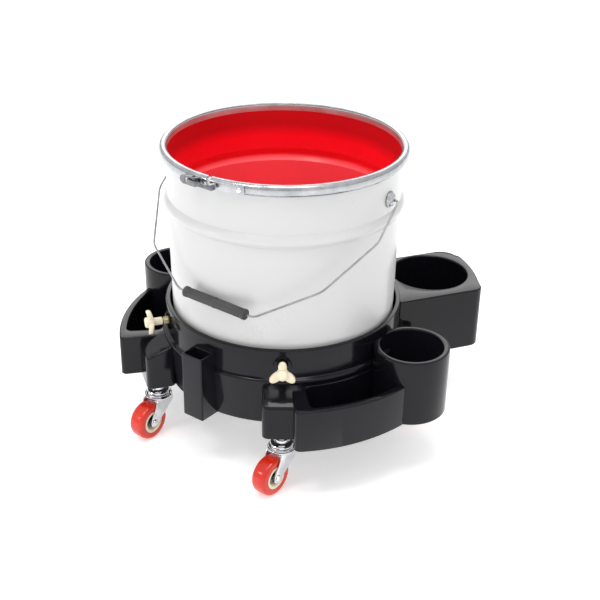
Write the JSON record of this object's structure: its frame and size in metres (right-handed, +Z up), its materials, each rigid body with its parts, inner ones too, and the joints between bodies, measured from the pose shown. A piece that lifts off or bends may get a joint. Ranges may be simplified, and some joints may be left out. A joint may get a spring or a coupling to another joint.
{
  "type": "wash bucket on a rolling dolly",
  "caption": "Steel wash bucket with a lever-locked rim and wire bail, clamped in a moulded rolling dolly with trays and holders.",
  "frame": {"origin": "bottom centre of the bounding box, on the floor under the wheels", "axes": "+Z up, the picture looks along +Y from the side where the bail hangs, +X to the right"},
  "size_m": [0.498, 0.512, 0.399],
  "materials": {
    "white_lacquer": "semi-gloss white lacquer over sheet steel",
    "red_lining": "glossy red inner coating",
    "zinc_steel": "bright zinc plate",
    "bail_steel": "galvanised wire",
    "bright_steel": "polished plate",
    "grip_plastic": "dark grey moulded plastic",
    "black_moulding": "glossy black injection moulding",
    "brass_insert": "machined hex",
    "cream_plastic": "cream moulded plastic",
    "red_tread": "glossy red-orange polyurethane"
  },
  "bodies": {
    "dolly": {"dolly_body": "black_moulding", "clamp_insert_1": "brass_insert", "clamp_insert_2": "brass_insert", "clamp_insert_3": "brass_insert", "caster_stem_1": "bright_steel", "caster_stem_2": "bright_steel", "caster_stem_3": "bright_steel", "caster_stem_4": "bright_steel", "caster_stem_5": "bright_steel"},
    "bucket": {"bucket_shell": "white_lacquer", "bucket_lining": "red_lining", "lock_ring": "zinc_steel", "latch_bracket": "zinc_steel", "latch_strap": "zinc_steel", "strap_rivet": "zinc_steel", "ear_right": "zinc_steel", "ear_left": "zinc_steel"},
    "bail": {"bail_wire": "bail_steel"},
    "grip": {"bail_grip": "grip_plastic"},
    "latch_lever": {"latch_lever": "zinc_steel"},
    "latch_link": {"latch_link": "zinc_steel"},
    "clamp_screw_1": {"clamp_screw_1": "zinc_steel"},
    "clamp_knob_1": {"clamp_knob_1": "cream_plastic"},
    "clamp_screw_2": {"clamp_screw_2": "zinc_steel"},
    "clamp_knob_2": {"clamp_knob_2": "cream_plastic"},
    "clamp_screw_3": {"clamp_screw_3": "zinc_steel"},
    "clamp_knob_3": {"clamp_knob_3": "cream_plastic"},
    "swivel_1": {"caster_fork_1": "zinc_steel", "caster_axle_1": "zinc_steel"},
    "wheel_1": {"wheel_hub_1": "cream_plastic", "wheel_tyre_1": "red_tread"},
    "swivel_2": {"caster_fork_2": "zinc_steel", "caster_axle_2": "zinc_steel"},
    "wheel_2": {"wheel_hub_2": "cream_plastic", "wheel_tyre_2": "red_tread"},
    "swivel_3": {"caster_fork_3": "zinc_steel", "caster_axle_3": "zinc_steel"},
    "wheel_3": {"wheel_hub_3": "cream_plastic", "wheel_tyre_3": "red_tread"},
    "swivel_4": {"caster_fork_4": "zinc_steel", "caster_axle_4": "zinc_steel"},
    "wheel_4": {"wheel_hub_4": "cream_plastic", "wheel_tyre_4": "red_tread"},
    "swivel_5": {"caster_fork_5": "zinc_steel", "caster_axle_5": "zinc_steel"},
    "wheel_5": {"wheel_hub_5": "cream_plastic", "wheel_tyre_5": "red_tread"}
  },
  "joints": [
    {"name": "bucket_lift", "type": "slide", "parent": "dolly", "child": "bucket", "axis": [0, 0, 1], "range_m": [0, 0.12]},
    {"name": "bail_swing", "type": "hinge", "parent": "bucket", "child": "bail", "pos_m": [-0.02799, -0.03626, 0.353], "axis": [-0.8526, 0.5225, 0], "range_deg": [0, 252]},
    {"name": "grip_turn", "type": "hinge", "parent": "bail", "child": "grip", "pos_m": [-0.11042, -0.17078, 0.23838], "axis": [-0.8211, 0.5693, 0.041], "continuous": true},
    {"name": "latch_open", "type": "hinge", "parent": "bucket", "child": "latch_lever", "pos_m": [-0.12962, -0.16177, 0.3915], "axis": [0, 0, 1], "range_deg": [0, 90]},
    {"name": "link_fold", "type": "hinge", "parent": "latch_lever", "child": "latch_link", "pos_m": [-0.13725, -0.15689, 0.3915], "axis": [0, 0, 1], "range_deg": [-90, 0]},
    {"name": "clamp_feed_1", "type": "slide", "parent": "dolly", "child": "clamp_screw_1", "axis": [0, -1, 0], "range_m": [0, 0.0101]},
    {"name": "clamp_turn_1", "type": "hinge", "parent": "clamp_screw_1", "child": "clamp_knob_1", "pos_m": [-0.02799, -0.19626, 0.167], "axis": [0, -1, 0], "range_deg": [0, 3600]},
    {"name": "clamp_feed_2", "type": "slide", "parent": "dolly", "child": "clamp_screw_2", "axis": [-0.9511, -0.309, 0], "range_m": [0, 0.0101]},
    {"name": "clamp_turn_2", "type": "hinge", "parent": "clamp_screw_2", "child": "clamp_knob_2", "pos_m": [-0.18016, -0.08571, 0.167], "axis": [-0.9511, -0.309, 0], "range_deg": [0, 3600]},
    {"name": "clamp_feed_3", "type": "slide", "parent": "dolly", "child": "clamp_screw_3", "axis": [0.6018, 0.7986, 0], "range_m": [0, 0.0101]},
    {"name": "clamp_turn_3", "type": "hinge", "parent": "clamp_screw_3", "child": "clamp_knob_3", "pos_m": [0.0683, 0.09152, 0.167], "axis": [0.6018, 0.7986, 0], "range_deg": [0, 3600]},
    {"name": "swivel_1", "type": "hinge", "parent": "dolly", "child": "swivel_1", "pos_m": [-0.02799, -0.21227, 0.06], "axis": [0, 0, 1], "continuous": true},
    {"name": "wheel_spin_1", "type": "hinge", "parent": "swivel_1", "child": "wheel_1", "pos_m": [-0.04213, -0.22912, 0.0254], "axis": [-0.766, 0.6428, 0], "continuous": true},
    {"name": "swivel_2", "type": "hinge", "parent": "dolly", "child": "swivel_2", "pos_m": [-0.19537, -0.09065, 0.06], "axis": [0, 0, 1], "continuous": true},
    {"name": "wheel_spin_2", "type": "hinge", "parent": "swivel_2", "child": "wheel_2", "pos_m": [-0.20892, -0.10799, 0.0254], "axis": [-0.788, 0.6157, 0], "continuous": true},
    {"name": "swivel_3", "type": "hinge", "parent": "dolly", "child": "swivel_3", "pos_m": [-0.10237, 0.12324, 0.06], "axis": [0, 0, 1], "continuous": true},
    {"name": "wheel_spin_3", "type": "hinge", "parent": "swivel_3", "child": "wheel_3", "pos_m": [-0.10989, 0.10257, 0.0254], "axis": [-0.9397, 0.342, 0], "continuous": true},
    {"name": "swivel_4", "type": "hinge", "parent": "dolly", "child": "swivel_4", "pos_m": [0.07793, 0.10429, 0.06], "axis": [0, 0, 1], "continuous": true},
    {"name": "wheel_spin_4", "type": "hinge", "parent": "swivel_4", "child": "wheel_4", "pos_m": [0.08893, 0.12335, 0.0254], "axis": [0.866, -0.5, 0], "continuous": true},
    {"name": "swivel_5", "type": "hinge", "parent": "dolly", "child": "swivel_5", "pos_m": [0.14585, -0.0638, 0.06], "axis": [0, 0, 1], "continuous": true},
    {"name": "wheel_spin_5", "type": "hinge", "parent": "swivel_5", "child": "wheel_5", "pos_m": [0.14015, -0.04255, 0.0254], "axis": [0.9659, 0.2588, 0], "continuous": true}
  ],
  "couplings": [
    {"joint": "link_fold", "follows": "latch_open", "ratio": -1},
    {"joint": "clamp_feed_1", "follows": "clamp_turn_1", "m_per_rad": 0.00015915},
    {"joint": "clamp_feed_2", "follows": "clamp_turn_2", "m_per_rad": 0.00015915},
    {"joint": "clamp_feed_3", "follows": "clamp_turn_3", "m_per_rad": 0.00015915}
  ]
}
